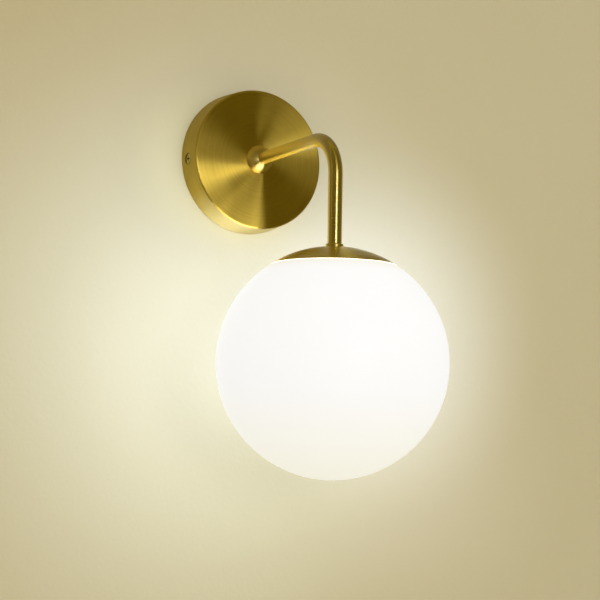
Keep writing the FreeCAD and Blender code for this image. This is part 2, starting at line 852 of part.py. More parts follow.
# Bulb
base_top = holder_bottom - seat_gap
base_bottom = base_top - bulb_base_height
cover_top = base_bottom - bulb_collar_height
board_bottom = cover_top - board_length


def bulb_base():
    body = block(at_globe(-bulb_base_half_width, -bulb_base_half_depth, base_bottom),
                 at_globe(bulb_base_half_width, bulb_base_half_depth, base_top))
    body = body.makeFillet(bulb_base_edge_radius, corner_edges(body, UP))
    collar = rod(at_globe(0, 0, base_bottom), DOWN, bulb_collar_height, bulb_radius)
    base = joined([body, collar])
    for place in pin_places:
        for side in (-1, 1):
            leg = at_globe(place + side * pin_loop_radius, 0, base_top + overrun)
            base = base.cut(rod(leg, DOWN, bulb_base_height / 2 + overrun, pin_wire_radius))
    return base


def bulb_pins():
    """Two upright wire loops, each with both legs in the base."""
    pins = []
    foot = base_top - bulb_base_height / 2
    bend = base_top + pin_length - pin_half_width
    for place in pin_places:
        left = place - pin_loop_radius
        right = place + pin_loop_radius
        rise = Part.LineSegment(at_globe(left, 0, foot), at_globe(left, 0, bend)).toShape()
        crown = Part.Arc(at_globe(left, 0, bend), at_globe(place, 0, bend + pin_loop_radius),
                         at_globe(right, 0, bend)).toShape()
        fall = Part.LineSegment(at_globe(right, 0, bend), at_globe(right, 0, foot)).toShape()
        path = Part.Wire([rise, crown, fall])
        section = Part.Wire([Part.makeCircle(pin_wire_radius, at_globe(left, 0, foot), UP)])
        pins.append(path.makePipeShell([section], True, False))
    return Part.makeCompound(pins)


def capsule(radius, length):
    """A round bar down from the bulb's collar, with a half ball at its end."""
    straight = length - radius
    bar = rod(at_globe(0, 0, cover_top), DOWN, straight, radius)
    tip = Part.makeSphere(radius, at_globe(0, 0, cover_top - straight))
    return joined([bar, tip])


def bulb_cover():
    return capsule(bulb_radius, bulb_length).cut(capsule(bulb_radius - bulb_wall, bulb_length - bulb_wall))


def bulb_board():
    return block(at_globe(-board_half_width, -board_thickness / 2, cover_top),
                 at_globe(board_half_width, board_thickness / 2, board_bottom))


def bulb_leds():
    leds = []
    step = board_length / led_rows
    for side in (-1, 1):
        near = side * board_thickness / 2
        far = near + side * led_thickness
        for row in range(led_rows):
            middle = cover_top - (row + 0.5) * step
            leds.append(block(at_globe(-led_half_width, near, middle - led_length / 2),
                              at_globe(led_half_width, far, middle + led_length / 2)))
    return Part.makeCompound(leds)


# Leads from the terminal block through the arm to the lampholder
def supply_lead(side):
    """One lead, from its pole up to the arm, through the tube and down to its contact."""
    pole = side * pole_places[-1]
    thread = side * lead_spread
    contact = side * pin_spacing / 2
    parting = -lead_turn_drop
    points = [
        at_wall(pole, sleeve_away, block_top - lead_entry),
        at_wall(pole, sleeve_away, block_top + lead_stub),
        at_wall(thread, sleeve_away, parting),
        at_wall(thread, sleeve_away, 0),
        arm_corner + RIGHT * thread,
        at_globe(thread, 0, tube_foot - bush_flange - lead_kink_radius),
        at_globe(contact, 0, holder_top + lead_kink_radius),
        at_globe(contact, 0, contact_top + contact_thickness),
    ]
    radii = [lead_kink_radius, lead_kink_radius, lead_turn_radius, bend_radius,
             lead_kink_radius, lead_kink_radius]
    return wire_along(points, radii, lead_radius)


def earth_lead():
    points = [
        at_wall(0, sleeve_away, block_top - lead_entry),
        at_wall(0, sleeve_away, -tag_barrel_drop),
        at_wall(0, tag_away - tag_thickness, -tag_barrel_drop),
    ]
    return wire_along(points, [earth_turn_radius], lead_radius)


def ferrules():
    ends = []
    for place in pole_places:
        start = at_wall(place, sleeve_away, block_top - lead_entry)
        ends.append(rod(start, DOWN, ferrule_length, ferrule_radius))
    return Part.makeCompound(ends)


pieces = {
    "wall_bracket": wall_bracket,
    "backplate": backplate,
    "side_screws": side_screws,
    "earth_screw": earth_screw,
    "earth_washer": earth_washer,
    "terminal_block": terminal_block,
    "terminal_sleeves": terminal_sleeves,
    "terminal_screws": terminal_screws,
    "block_screw": block_screw,
    "arm_tube": arm_tube,
    "arm_collar": arm_collar,
    "plate_washer": plate_washer,
    "earth_tag": earth_tag,
    "upper_lock_washer": upper_lock_washer,
    "upper_nut": upper_nut,
    "upper_bush": upper_bush,
    "lower_bush": lower_bush,
    "foot_ring": foot_ring,
    "shade_cap": shade_cap,
    "globe_spring": globe_spring,
    "holder_strap": holder_strap,
    "lower_lock_washer": lower_lock_washer,
    "lower_nut": lower_nut,
    "lampholder": lampholder,
    "lampholder_contacts": lampholder_contacts,
    "holder_screws": holder_screws,
    "globe": globe,
    "bulb_base": bulb_base,
    "bulb_pins": bulb_pins,
    "bulb_cover": bulb_cover,
    "bulb_board": bulb_board,
    "bulb_leds": bulb_leds,
    "live_lead": lambda: supply_lead(1),
    "neutral_lead": lambda: supply_lead(-1),
    "earth_lead": earth_lead,
    "lead_ferrules": ferrules,
}

os.makedirs("parts", exist_ok=True)
for name, make in pieces.items():
    shape = make()
    shape.exportStep(os.path.join("parts", name + ".step"))
    print(name, "solids", len(shape.Solids), "valid", shape.isValid(), "volume", round(shape.Volume, 2))
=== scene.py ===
import math

import bpy
from mathutils import Matrix, Vector


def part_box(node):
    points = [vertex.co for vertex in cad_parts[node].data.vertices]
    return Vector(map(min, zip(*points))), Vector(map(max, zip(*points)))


# The looks of a wall lamp: brass cup, bent brass tube and a lit opal globe. Metres, in the frame's own axes:
# the wall is the plane y = 0, the room is towards -Y, up is +Z.

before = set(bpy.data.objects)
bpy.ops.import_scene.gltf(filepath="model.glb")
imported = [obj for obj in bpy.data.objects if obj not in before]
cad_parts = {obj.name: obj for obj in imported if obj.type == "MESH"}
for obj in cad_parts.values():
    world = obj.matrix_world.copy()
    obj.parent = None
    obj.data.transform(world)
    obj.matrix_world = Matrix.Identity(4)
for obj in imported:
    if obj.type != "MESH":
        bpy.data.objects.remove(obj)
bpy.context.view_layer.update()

# Places taken from the frame
globe_low, globe_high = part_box("globe")
globe_radius = (globe_high.x - globe_low.x) / 2
globe_centre = Vector((0, (globe_low.y + globe_high.y) / 2, globe_low.z + globe_radius))
cup_low, cup_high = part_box("backplate")
cup_radius = (cup_high.x - cup_low.x) / 2
screw_low, screw_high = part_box("side_screws")
screw_middle = (screw_low + screw_high) / 2
wall_centre = Vector((0, 0, 0))
TOWARDS_ROOM = (0.0, -1.0, 0.0)
UPWARDS = (0.0, 0.0, 1.0)
ACROSS_SCREWS = (0.0, 1.0, 1.0)     # keeps what lies across the axis of the side screws

# Lengths on the lamp
bend_radius = 0.029         # of the tube's centre line
dimple_shade_edge = 0.0041        # from the side screw's axis, where the painted shade in the dimple round its head is darkest
dimple_shade_end = 0.0048
slot_shade_top = 0.0004           # below the top of a screw's head, where the painted shade in its slots starts
slot_shade_floor = 0.0009
track_pitch = 0.0035        # of the copper tracks on the bulb's board
track_lift = 1.0            # keeps the tracks' heights above zero
track_start = 0.0012
track_full = 0.0014
track_inside = 0.0034       # from the board's middle line to the ends of its tracks
track_end = 0.0037

# The photograph's camera
camera_place = Vector((-0.50783, -0.99751, -0.20996))
camera_yaw = math.radians(29.2115)
camera_pitch = math.radians(5.3375)
camera_roll = math.radians(1.0658)
camera_lens = 87.465
camera_sensor = 36.0

# Stage: a wall with an opening behind the cup, and a floor
wall_reach = 2.5
wall_gap = 0.0005           # between the wall and the lamp's back
opening_share = 0.985       # of the cup's radius, so that the cup covers the opening
floor_drop = 0.95
floor_reach = 8.0
stage_steps = 64

# Softboxes, in front of the lamp
lamp_distance = 2.4
front_direction = (-0.139, -0.989, 0.052)
tall_direction = (0.087, -0.995, -0.05)
high_direction = (0.0, -0.94, 0.34)
box_side = 0.62             # of the square softbox, and the narrow side of the other two
tall_box_height = 1.25
high_box_width = 0.9
front_radiance = 5.9
tall_radiance = 2.2
high_radiance = 0.8

# Marks in each metre of a surface, for its noise
turned_fineness = 1100.0
polished_fineness = 900.0
tube_fineness = 1500.0
machined_fineness = 2600.0
rolled_fineness = 1500.0
sheath_fineness = 900.0
board_fineness = 2500.0
plaster_fineness = 260.0
patch_fineness = 5.0        # of the wall's broad patches
wave_fineness = 28.0        # of the waves in the blown glass
brass_cloud = 45.0
steel_cloud = 120.0
moulded_cloud = 160.0

# Depths of the marks
turned_groove = 4e-6
tube_groove = 8e-7
polished_groove = 1.5e-7
machined_groove = 6e-6
rolled_groove = 6e-6
moulded_groove = 8e-6
ceramic_groove = 1.5e-5
sheath_groove = 6e-6
glowing_groove = 5e-6
track_height = 3e-5
wave_height = 0.0002
plaster_height = 0.0003

# Sizes of a mould's grains
moulded_grain = 0.0006
ceramic_grain = 0.0004
cover_grain = 0.0012
phosphor_grain = 0.0003
milky_depth = 0.002         # that light reaches in white plastic
milky_spread = (1.0, 0.9, 0.8)      # of red, green and blue light in it

# The way in which a sheet's, a spring's and a wire's grain is stretched
sheet_stretch = (0.2, 1.0, 1.0)
spring_stretch = (1.0, 1.0, 0.15)
wire_stretch = (1.0, 1.0, 0.1)

# How far streaks wander as they go round, and how much the cup's streaks turn in towards its middle
turned_wander = 0.8
polished_wander = 2.0
tube_wander = 0.5
cup_feed = 0.0045
cup_dome = 1.0              # the lean of the cup's face in each metre from its middle

# Shares of a noise between which colours and gloss change
grain_low_share = 0.3
grain_middle_share = 0.5
grain_high_share = 0.7
cloud_low_share = 0.35
cloud_high_share = 0.65
brass_grain_share = 0.55    # of the tone that follows the grain; the rest follows the cloud
brass_cloud_share = 0.45

# How far a surface faces a way, from 0 to 1, where its tint changes
side_painted_glow_start = 0.5       # the cup's side, outwards and down, where the globe's glow is painted on
side_painted_glow_full = 0.9
rim_painted_glow_full = 0.3         # the cap's rim, away from the globe's centre, where the globe's glow is painted on
rim_painted_glow_end = 0.7
stripe_start = 0.6          # a lead's stripe, to the left or right
stripe_full = 0.66
# Shares: painted glow on the cup's side, painted shade in the dimples round the side screws, and the
# sheath's darker grain
side_painted_glow_share = 0.8
dimple_shade_share = 0.75
sheath_dark_share = 0.25

# Shares of the globe's radius, from its centre
foot_glow_share = 0.2       # down to where the warmer glow of the foot ends
cap_glow_start_share = 0.76     # up to where the warmer glow by the cap starts
cap_glow_full_share = 0.84

# Roughness, and how far it goes down and up with the grain
brass_spread = 0.03
steel_spread_down = 0.06
steel_spread_up = 0.08
moulded_spread = 0.05
sheath_smooth = 0.38
sheath_rough = 0.5
glass_smooth = 0.5
glass_rough = 0.56
glowing_smooth = 0.3
glowing_rough = 0.42
board_smooth = 0.3
board_rough = 0.4
cup_roughness = 0.31
cap_roughness = 0.33
tube_roughness = 0.25
collar_roughness = 0.32
ring_roughness = 0.4
screw_roughness = 0.26
nut_roughness = 0.3
zinc_roughness = 0.34
spring_roughness = 0.26
wire_roughness = 0.2
block_roughness = 0.42
bush_roughness = 0.45
ceramic_roughness = 0.55
base_roughness = 0.4

# How far highlights are drawn out across the grooves
brushed_anisotropy = 1.0
polished_anisotropy = 0.9

# Clear lacquer; a fan is how far its highlights spread across the grooves
cap_coat_roughness = 0.2
cap_coat_fan = 1.8
tube_coat_roughness = 0.22
tube_coat_fan = 0.8

# Strengths of the lights; 1 shows as white
globe_shown = 0.8
globe_mirrored = 5.5
globe_cast = 2.05
cover_glow = 0.45
phosphor_glow = 0.6
world_cast = 0.85
world_shown = 0.95
world_room_side = 0.14      # that metal sees in a direction towards the room
world_wall_side = 0.85      # that metal sees in a direction towards the wall
room_side_end = -0.15       # the direction's y, where the room's side ends
wall_side_start = 0.1

# The sockets of a mixing node that take and give colours
COLOUR_FIRST = 6
COLOUR_SECOND = 7
COLOUR_MADE = 2


class Graph:
    """One material's nodes, with a short call for each kind that is used here."""

    def __init__(self, name):
        self.material = bpy.data.materials.new(name)
        self.material.use_nodes = True
        self.tree = self.material.node_tree
        self.shader = self.tree.nodes["Principled BSDF"]

    def node(self, kind, **settings):
        """A new node of a kind, with its settings."""
        made = self.tree.nodes.new(kind)
        for key, value in settings.items():
            setattr(made, key, value)
        return made

    def put(self, socket, value):
        """Links an output to a socket, or writes a plain value on it."""
        if isinstance(value, bpy.types.NodeSocket):
            self.tree.links.new(value, socket)
        else:
            socket.default_value = value

    def set(self, **values):
        """Fills the shader's own sockets, named in lower case with underscores."""
        names = {socket.name.lower().replace(" ", "_"): socket for socket in self.shader.inputs}
        for key, value in values.items():
            self.put(names[key], value)

    def base(self):
        """What is linked to the shader's base colour so far."""
        return self.shader.inputs["Base Color"].links[0].from_socket

    def math(self, operation, *values):
        made = self.node("ShaderNodeMath", operation=operation)
        for socket, value in zip(made.inputs, values):
            self.put(socket, value)
        return made.outputs[0]

    def vector(self, operation, *values):
        made = self.node("ShaderNodeVectorMath", operation=operation)
        for socket, value in zip(made.inputs, values):
            self.put(socket, value)
        return made.outputs["Value" if operation in ("DOT_PRODUCT", "LENGTH") else "Vector"]

    def scaled(self, vector, factor):
        made = self.node("ShaderNodeVectorMath", operation="SCALE")
        self.put(made.inputs[0], vector)
        self.put(made.inputs["Scale"], factor)
        return made.outputs["Vector"]

    def combined(self, x, y, z):
        made = self.node("ShaderNodeCombineXYZ")
        for socket, value in zip(made.inputs, (x, y, z)):
            self.put(socket, value)
        return made.outputs[0]

    def separated(self, vector):
        made = self.node("ShaderNodeSeparateXYZ")
        self.put(made.inputs[0], vector)
        return made.outputs

    def noise(self, vector, scale, detail=2.0, roughness=0.5, fourth=None):
        made = self.node("ShaderNodeTexNoise", noise_dimensions="3D" if fourth is None else "4D")
        self.put(made.inputs["Vector"], vector)
        if fourth is not None:
            self.put(made.inputs["W"], fourth)
        made.inputs["Scale"].default_value = scale
        made.inputs["Detail"].default_value = detail
        made.inputs["Roughness"].default_value = roughness
        return made.outputs["Fac"]

    def ranged(self, value, low, high, new_low, new_high, way="LINEAR"):
        """A value carried from one range to another, held within it."""
        made = self.node("ShaderNodeMapRange", interpolation_type=way)
        for socket, number in zip(made.inputs, (value, low, high, new_low, new_high)):
            self.put(socket, number)
        return made.outputs[0]

    def by_grain(self, grain, low, high):
        """A value that goes from low to high with a grain."""
        return self.ranged(grain, grain_low_share, grain_high_share, low, high)

    def by_cloud(self, cloud, low, high):
        """A value that goes from low to high with a cloud."""
        return self.ranged(cloud, cloud_low_share, cloud_high_share, low, high)

    def mixed(self, factor, first, second, blend="MIX"):
        """A colour between two colours, or the first with a share of the second added or taken away."""
        made = self.node("ShaderNodeMix", data_type="RGBA", blend_type=blend)
        self.put(made.inputs[0], factor)
        self.put(made.inputs[COLOUR_FIRST], first)
        self.put(made.inputs[COLOUR_SECOND], second)
        return made.outputs[COLOUR_MADE]

    def patch(self, centre, inner, outer):
        """1 within the inner radius round a centre, and 0 beyond the outer one."""
        distance = self.vector("LENGTH", self.place(centre))
        return self.ranged(distance, inner, outer, 1.0, 0.0, way="SMOOTHSTEP")

    def bumped(self, height, distance, normal=None):
        made = self.node("ShaderNodeBump")
        made.inputs["Distance"].default_value = distance
        self.put(made.inputs["Height"], height)
        if normal is not None:
            self.put(made.inputs["Normal"], normal)
        return made.outputs[0]

    def place(self, centre=(0, 0, 0)):
        """The shaded point, measured from a centre."""
        point = self.node("ShaderNodeTexCoord").outputs["Object"]
        return self.vector("SUBTRACT", point, tuple(centre))

    def normal(self):
        return self.node("ShaderNodeNewGeometry").outputs["Normal"]


def colour(red, green, blue):
    """A colour as a shader takes it, from the 0 to 255 values that a screen shows, by the sRGB curve."""
    linear = []
    for value in (red, green, blue):
        share = value / 255
        linear.append(share / 12.92 if share <= 0.04045 else ((share + 0.055) / 1.055) ** 2.4)
    return (*linear, 1.0)


def around(graph, centre, axis):
    """What a turned surface needs: its radius, its place along the axis and its direction round the axis."""
    point = graph.place(centre)
    ring = graph.vector("CROSS_PRODUCT", axis, point)
    radius = graph.vector("LENGTH", ring)
    along = graph.vector("DOT_PRODUCT", axis, point)
    direction = graph.vector("NORMALIZE", ring)
    return radius, along, direction


def turned_grain(graph, centre, axis, fineness, wander, feed=0.0):
    """Streaks round an axis, and the direction across them; a feed turns them most near the axis."""
    radius, along, direction = around(graph, centre, axis)
    lengthwise = graph.scaled(axis, graph.math("MULTIPLY", along, fineness))
    vector = graph.vector("ADD", graph.scaled(direction, wander), lengthwise)
    grain = graph.noise(vector, 1.0, detail=3.0, roughness=0.6,
                        fourth=graph.math("MULTIPLY", radius, fineness))
    across = graph.vector("CROSS_PRODUCT", graph.normal(), direction)
    across = graph.vector("ADD", across, graph.scaled(direction, graph.math("DIVIDE", feed, radius)))
    return grain, graph.vector("NORMALIZE", across)


def domed_normal(graph, centre, axis, dome):
    """The normal of a face that is a little rounder than its mesh."""
    radius, _, direction = around(graph, centre, axis)
    outward = graph.vector("CROSS_PRODUCT", direction, axis)
    lean = graph.scaled(outward, graph.math("MULTIPLY", radius, dome))
    return graph.vector("NORMALIZE", graph.vector("ADD", graph.normal(), lean))


def brushed_coat(graph, grain, across, roughness, fan):
    """Clear lacquer that follows the grooves, so that its highlights spread across them."""
    lean = graph.math("MULTIPLY", graph.math("SUBTRACT", grain, grain_middle_share), fan)
    leaning = graph.vector("ADD", graph.normal(), graph.scaled(across, lean))
    graph.set(coat_weight=1.0, coat_roughness=roughness, coat_ior=2.0,
              coat_normal=graph.vector("NORMALIZE", leaning))


def finish_brass(graph, grain, across, tint, shade, roughness, groove, anisotropy, normal=None):
    """Brass whose colour, gloss and relief all follow one grain."""
    cloud = graph.noise(graph.place(), brass_cloud, detail=3.0)
    tone = graph.math("ADD", graph.math("MULTIPLY", grain, brass_grain_share),
                      graph.math("MULTIPLY", cloud, brass_cloud_share))
    graph.set(
        base_color=graph.mixed(graph.by_grain(tone, 0.0, 1.0), shade, tint),
        metallic=1.0,
        roughness=graph.by_grain(tone, roughness + brass_spread, roughness - brass_spread),
        normal=graph.bumped(grain, groove, normal),
    )
    if anisotropy:
        graph.set(anisotropic=anisotropy, tangent=across)


def cup_brass(name, tint, shade, painted_glow_tint, painted_recess_shade):
    """Spun brass, finely brushed round its middle; the globe's glow is painted on its side below, and
    painted shade round its screws.
    """
    graph = Graph(name)
    grain, across = turned_grain(graph, wall_centre, TOWARDS_ROOM, turned_fineness, turned_wander, cup_feed)
    normal = domed_normal(graph, wall_centre, TOWARDS_ROOM, cup_dome)
    finish_brass(graph, grain, across, tint, shade, cup_roughness, turned_groove, brushed_anisotropy,
                 normal)
    # Painted glow: where the cup's side faces outwards and down, towards the globe, it takes a pale tint as
    # if lit by the globe
    outward = graph.vector("NORMALIZE", graph.place(wall_centre))
    facing_out = graph.vector("DOT_PRODUCT", outward, graph.normal())
    facing_down = graph.math("MULTIPLY", graph.separated(graph.normal())[2], -1.0)
    facing = graph.math("MINIMUM", facing_out, facing_down)
    below = graph.ranged(facing, side_painted_glow_start, side_painted_glow_full, 0.0, side_painted_glow_share)
    base = graph.mixed(below, graph.base(), painted_glow_tint)
    # Painted shade: the cup goes dark in the dimple round each side screw's head
    # Only the distance from the screws' axis counts, so the place along it is taken out
    flat = graph.vector("MULTIPLY", graph.place(screw_middle), ACROSS_SCREWS)
    dimple_shade = graph.ranged(graph.vector("LENGTH", flat), dimple_shade_edge, dimple_shade_end, dimple_shade_share, 0.0)
    graph.set(base_color=graph.mixed(dimple_shade, base, painted_recess_shade))
    return graph.material


def cap_brass(name, tint, shade, painted_glow_tint):
    """Spun brass, with the globe's glow painted on its rim as a pale edge."""
    graph = Graph(name)
    grain, across = turned_grain(graph, globe_centre, UPWARDS, turned_fineness, turned_wander)
    finish_brass(graph, grain, across, tint, shade, cap_roughness, turned_groove, brushed_anisotropy)
    brushed_coat(graph, grain, across, cap_coat_roughness, cap_coat_fan)
    # Painted glow: where the cap is side-on to the globe, at its rim, it takes a pale tint as if lit by the
    # globe
    outward = graph.vector("NORMALIZE", graph.place(globe_centre))
    facing = graph.math("ABSOLUTE", graph.vector("DOT_PRODUCT", outward, graph.normal()))
    base = graph.base()
    inside = graph.ranged(facing, rim_painted_glow_full, rim_painted_glow_end, 0.0, 1.0)
    graph.set(base_color=graph.mixed(inside, painted_glow_tint, base))
    return graph.material


def tube_brass(name, tint, shade):
    """Satin brass with fine marks round the tube, which follow its bend."""
    graph = Graph(name)
    bend_centre = Vector((0, globe_centre.y + bend_radius, -bend_radius))
    _, y, z = graph.separated(graph.place(bend_centre))
    outward = graph.math("MULTIPLY", y, -1.0)
    turn = graph.math("ARCTAN2", outward, z)
    turn = graph.math("MINIMUM", graph.math("MAXIMUM", turn, 0.0), math.pi / 2)
    level_run = graph.math("MINIMUM", outward, 0.0)
    falling_run = graph.math("MAXIMUM", graph.math("MULTIPLY", z, -1.0), 0.0)
    bent_run = graph.math("MULTIPLY", turn, bend_radius)
    length = graph.math("ADD", graph.math("ADD", level_run, bent_run), falling_run)
    side = graph.scaled(graph.normal(), tube_wander)
    grain = graph.noise(side, 1.0, detail=3.0, roughness=0.6,
                        fourth=graph.math("MULTIPLY", length, tube_fineness))
    across = graph.combined(0.0, graph.math("MULTIPLY", graph.math("COSINE", turn), -1.0),
                            graph.math("MULTIPLY", graph.math("SINE", turn), -1.0))
    finish_brass(graph, grain, across, tint, shade, tube_roughness, tube_groove, brushed_anisotropy)
    brushed_coat(graph, grain, across, tube_coat_roughness, tube_coat_fan)
    return graph.material


def polished_brass(name, centre, axis, tint, shade, roughness):
    """Turned brass with a fine polish, whose highlights are drawn out across its grooves."""
    graph = Graph(name)
    grain, across = turned_grain(graph, centre, axis, polished_fineness, polished_wander)
    finish_brass(graph, grain, across, tint, shade, roughness, polished_groove, polished_anisotropy)
    return graph.material


def machined_brass(graph, tint, shade, roughness):
    """Fills a graph with brass that has short, fine marks."""
    grain = graph.noise(graph.place(), machined_fineness, detail=4.0)
    finish_brass(graph, grain, None, tint, shade, roughness, machined_groove, 0.0)


def plain_brass(name, tint, shade, roughness):
    """Machined brass, as on nuts and terminals."""
    graph = Graph(name)
    machined_brass(graph, tint, shade, roughness)
    return graph.material


def screw_brass(name, tint, shade, painted_slot_shade, head_top):
    """Brass of a screw head with painted shade in its slots and below its rounded top."""
    graph = Graph(name)
    machined_brass(graph, tint, shade, screw_roughness)
    # Painted shade: the head darkens with depth below its top, in its slots
    reach = graph.math("ABSOLUTE", graph.separated(graph.place())[0])
    depth = graph.math("SUBTRACT", head_top, reach)
    base = graph.base()
    graph.set(base_color=graph.mixed(graph.ranged(depth, slot_shade_top, slot_shade_floor, 0.0, 1.0), base, painted_slot_shade))
    return graph.material


def steel(name, tint, shade, roughness, stretch):
    """Rolled or plated steel with a grain stretched along one way."""
    graph = Graph(name)
    place = graph.vector("MULTIPLY", graph.place(), stretch)
    grain = graph.noise(place, rolled_fineness, detail=4.0, roughness=0.65)
    cloud = graph.noise(graph.place(), steel_cloud, detail=4.0, roughness=0.7)
    graph.set(
        base_color=graph.mixed(graph.by_cloud(cloud, 0.0, 1.0), shade, tint),
        metallic=1.0,
        roughness=graph.by_grain(grain, roughness - steel_spread_down, roughness + steel_spread_up),
        normal=graph.bumped(grain, rolled_groove),
    )
    return graph.material


def moulded(name, tint, shade, roughness, grain_size=moulded_grain, depth=moulded_groove, subsurface=0.0):
    """Plastic or ceramic with the fine skin of its mould."""
    graph = Graph(name)
    grain = graph.noise(graph.place(), 1 / grain_size, detail=3.0)
    cloud = graph.noise(graph.place(), moulded_cloud, detail=2.0)
    graph.set(
        base_color=graph.mixed(graph.by_cloud(cloud, 0.0, 1.0), shade, tint),
        roughness=graph.by_grain(grain, roughness - moulded_spread, roughness + moulded_spread),
        normal=graph.bumped(grain, depth),
    )
    if subsurface:
        graph.set(subsurface_weight=subsurface, subsurface_scale=milky_depth,
                  subsurface_radius=milky_spread)
    return graph.material


def sheath(name, tint, stripe=None):
    """A lead's soft sheath, with an optional stripe along each side."""
    graph = Graph(name)
    grain = graph.noise(graph.place(), sheath_fineness, detail=2.0)
    base = graph.mixed(graph.by_grain(grain, 0.0, sheath_dark_share), tint, sheath_shade)
    if stripe is not None:
        side = graph.math("ABSOLUTE", graph.separated(graph.normal())[0])
        base = graph.mixed(graph.ranged(side, stripe_start, stripe_full, 0.0, 1.0), base, stripe)
    graph.set(base_color=base, roughness=graph.by_grain(grain, sheath_smooth, sheath_rough),
              normal=graph.bumped(grain, sheath_groove), sheen_weight=0.15)
    return graph.material


def opal_glass(name):
    """Blown opal glass, lit from inside: a satin skin, faint waves and a warmer glow at its foot and cap."""
    graph = Graph(name)
    place = graph.place(globe_centre)
    wave = graph.noise(place, wave_fineness, detail=1.0)
    height = graph.separated(place)[2]
    above_foot = graph.ranged(height, -globe_radius, -globe_radius * foot_glow_share, 0.0, 1.0)
    glow = graph.mixed(above_foot, foot_light, globe_light)
    near_cap = graph.ranged(height, globe_radius * cap_glow_start_share, globe_radius * cap_glow_full_share,
                            0.0, 1.0)
    glow = graph.mixed(near_cap, glow, cap_light)
    path = graph.node("ShaderNodeLightPath").outputs
    cast = graph.ranged(path["Is Glossy Ray"], 0.0, 1.0, globe_cast, globe_mirrored)
    strength = graph.ranged(path["Is Camera Ray"], 0.0, 1.0, cast, globe_shown)
    graph.set(
        base_color=graph.mixed(wave, glass_shade, glass_tint),
        roughness=graph.by_grain(wave, glass_smooth, glass_rough),
        specular_ior_level=0.3,
        normal=graph.bumped(wave, wave_height),
        emission_color=glow,
        emission_strength=strength,
    )
    return graph.material


def glowing(name, tint, shade, light, strength, grain_size):
    """Milky plastic or phosphor with light behind it."""
    graph = Graph(name)
    grain = graph.noise(graph.place(), 1 / grain_size, detail=2.0)
    graph.set(
        base_color=graph.mixed(grain, shade, tint),
        roughness=graph.by_grain(grain, glowing_smooth, glowing_rough),
        normal=graph.bumped(grain, glowing_groove),
        emission_color=light,
        emission_strength=strength,
    )
    return graph.material


def circuit_board(name):
    """White solder mask over copper tracks that show as faint, raised lines."""
    graph = Graph(name)
    x, _, z = graph.separated(graph.place(globe_centre))
    rows = graph.math("PINGPONG", graph.math("ADD", z, track_lift), track_pitch)
    track = graph.ranged(rows, track_start, track_full, 0.0, 1.0)
    edge = graph.ranged(graph.math("ABSOLUTE", x), track_inside, track_end, 1.0, 0.0)
    copper = graph.math("MULTIPLY", track, edge)
    grain = graph.noise(graph.place(), board_fineness)
    graph.set(
        base_color=graph.mixed(copper, board_tint, track_tint),
        roughness=graph.by_grain(grain, board_smooth, board_rough),
        normal=graph.bumped(copper, track_height),
    )
    return graph.material


def wall_patch(x, z, inner, outer, tint):
    """A round patch of the wall: its centre, the radii between which it fades, and its tint."""
    return Vector((x, 0, z)), inner, outer, tint


# Painted light: patches of paler paint that stand in for the globe's glow on the wall and lift the cup's
# shadow, each added to its paint
glow_round_globe = wall_patch(x=-0.023, z=-0.14, inner=0.0, outer=0.294, tint=colour(131, 146, 158))
glow_behind_globe = wall_patch(x=0.135, z=-0.119, inner=0.0, outer=0.169, tint=colour(141, 152, 171))
glow_round_cup = wall_patch(x=-0.034, z=-0.002, inner=0.016, outer=0.073, tint=colour(99, 101, 68))
glow_low_right = wall_patch(x=0.184, z=-0.237, inner=0.003, outer=0.148, tint=colour(74, 75, 83))
wall_glows = [glow_round_globe, glow_behind_globe, glow_round_cup, glow_low_right]

# Painted shade: a darker patch, taken from its paint
painted_wall_shade = wall_patch(x=-0.232, z=0.193, inner=0.023, outer=0.3, tint=colour(45, 61, 62))

# Where metal sees the wall dimmed: far from the cup, and above the globe
near_wall = 0.09
far_wall = 0.3
low_wall = -0.06
high_wall = 0.01
far_dimming = 0.7
high_dimming = 0.38


def plaster(name):
    """A cream wall or floor, with the globe's glow painted on round it as paler paint, that can be seen
    through from its back.
    """
    graph = Graph(name)
    fine = graph.noise(graph.place(), plaster_fineness, detail=4.0, roughness=0.6)
    broad = graph.noise(graph.place(), patch_fineness, detail=2.0)
    paint = graph.mixed(broad, paint_shade, paint_tint)
    for centre, inner, outer, added in wall_glows:
        paint = graph.mixed(graph.patch(centre, inner, outer), paint, added, blend="ADD")
    # Painted shade taken from the paint
    centre, inner, outer, taken = painted_wall_shade
    paint = graph.mixed(graph.patch(centre, inner, outer), paint, taken, blend="SUBTRACT")
    distance = graph.vector("LENGTH", graph.place())
    away = graph.ranged(distance, near_wall, far_wall, 0.0, far_dimming, way="SMOOTHSTEP")
    height = graph.separated(graph.place())[2]
    above = graph.ranged(height, low_wall, high_wall, 0.0, high_dimming, way="SMOOTHSTEP")
    mirrored = graph.node("ShaderNodeLightPath").outputs["Is Glossy Ray"]
    dimmed = graph.math("MULTIPLY", mirrored, graph.math("MAXIMUM", away, above))
    graph.set(
        base_color=graph.mixed(dimmed, paint, black),
        roughness=0.8,
        specular_ior_level=0.2,
        normal=graph.bumped(fine, plaster_height),
    )
    clear = graph.node("ShaderNodeBsdfTransparent")
    choice = graph.node("ShaderNodeMixShader")
    graph.put(choice.inputs[0], graph.node("ShaderNodeNewGeometry").outputs["Backfacing"])
    graph.put(choice.inputs[1], graph.shader.outputs[0])
    graph.put(choice.inputs[2], clear.outputs[0])
    graph.put(graph.tree.nodes["Material Output"].inputs["Surface"], choice.outputs[0])
    return graph.material


# Colours of the finishes: a tint is mixed with its darker shade, and a light is what a surface gives off
cup_tint = colour(226, 197, 88)
cup_shade = colour(200, 171, 74)
# Painted glow of the globe on the cup's lower side
cup_painted_glow_tint = colour(250, 236, 176)
# Painted shade in the dimples round the side screws
painted_recess_shade = colour(60, 44, 20)
cap_tint = colour(246, 217, 88)
cap_shade = colour(234, 205, 78)
